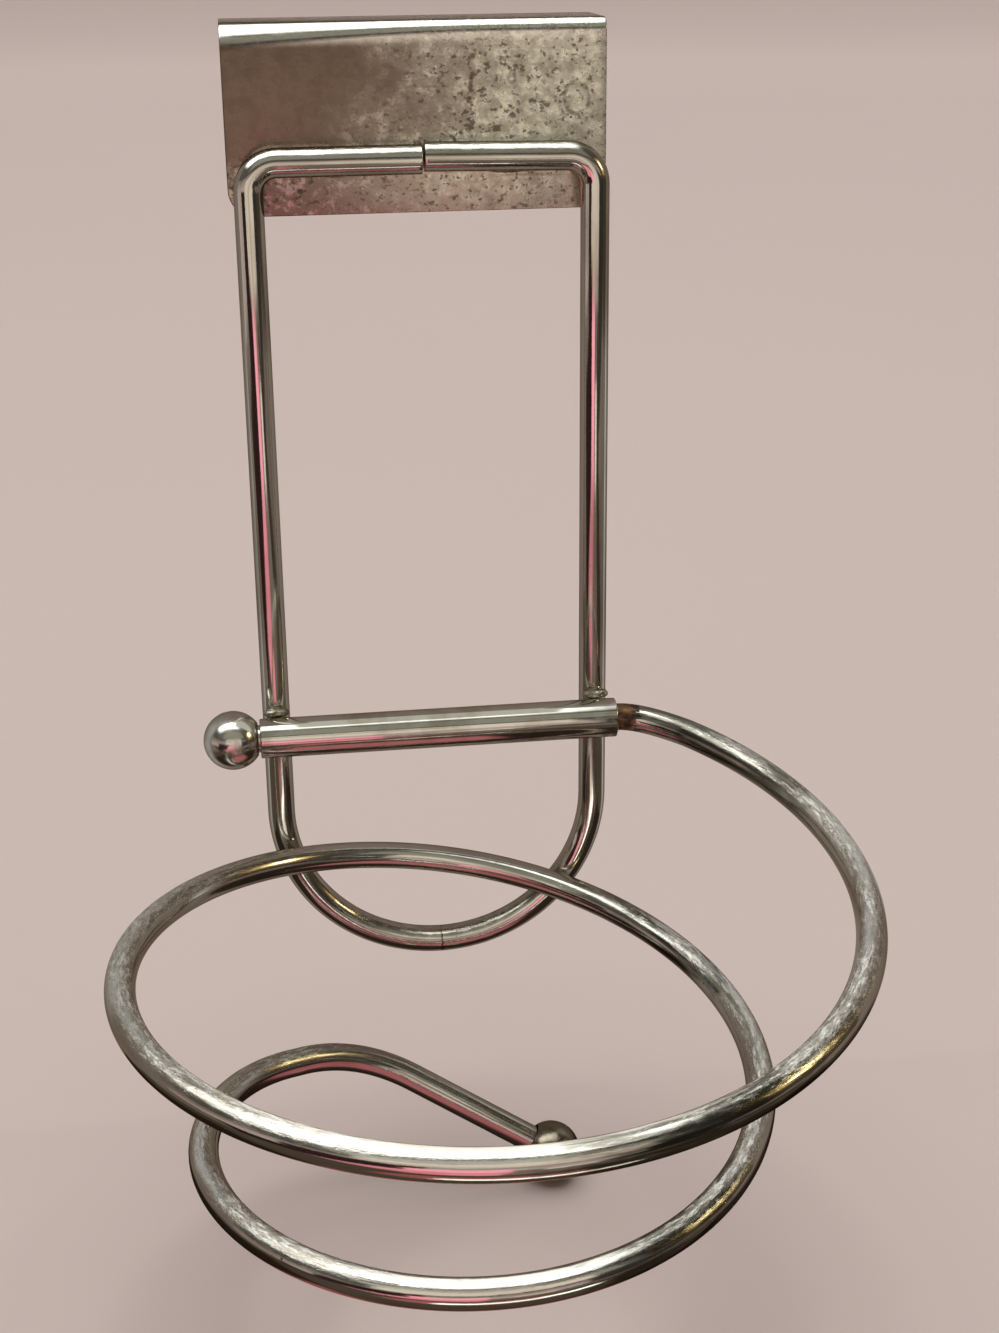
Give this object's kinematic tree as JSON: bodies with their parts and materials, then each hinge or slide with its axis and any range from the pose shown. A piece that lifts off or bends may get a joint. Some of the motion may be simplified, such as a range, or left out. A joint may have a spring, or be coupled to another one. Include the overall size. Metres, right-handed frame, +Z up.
{
  "type": "hair dryer holder",
  "caption": "Chromed rod holder for a hair dryer: a sheet hook over a panel's edge, a looped frame, and a spiral cradle that hangs from a hinge tube and folds up.",
  "frame": {"origin": "middle of the hook's seat, the underside of its top, which rests on the panel's top edge", "axes": "+Z up, -Y towards the user, X along the panel's edge, +X to the user's right"},
  "size_m": [0.1267, 0.1414, 0.2083],
  "materials": {
    "hook_sheet": "tarnished and pitted chrome plate on steel sheet",
    "frame_chrome": "polished chrome plate, lightly worn",
    "tube_chrome": "polished chrome plate, lightly worn",
    "weld_metal": "plated weld bead, dulled",
    "spiral_chrome": "chrome plate, scuffed on its upper side, with rust beside the tube",
    "ball_chrome": "polished chrome plate"
  },
  "bodies": {
    "hanger": {"hook_plate": "hook_sheet", "frame_rod": "frame_chrome", "hinge_tube": "tube_chrome", "tube_weld_left": "weld_metal", "tube_weld_right": "weld_metal", "plate_weld_left": "weld_metal", "plate_weld_right": "weld_metal"},
    "spiral": {"spiral_rod": "spiral_chrome", "hinge_ball": "ball_chrome", "tip_ball": "ball_chrome"}
  },
  "joints": [
    {"name": "spiral_fold", "type": "hinge", "parent": "hanger", "child": "spiral", "pos_m": [0, -0.0196, -0.122], "axis": [-1, 0, 0], "range_deg": [0, 95]}
  ]
}
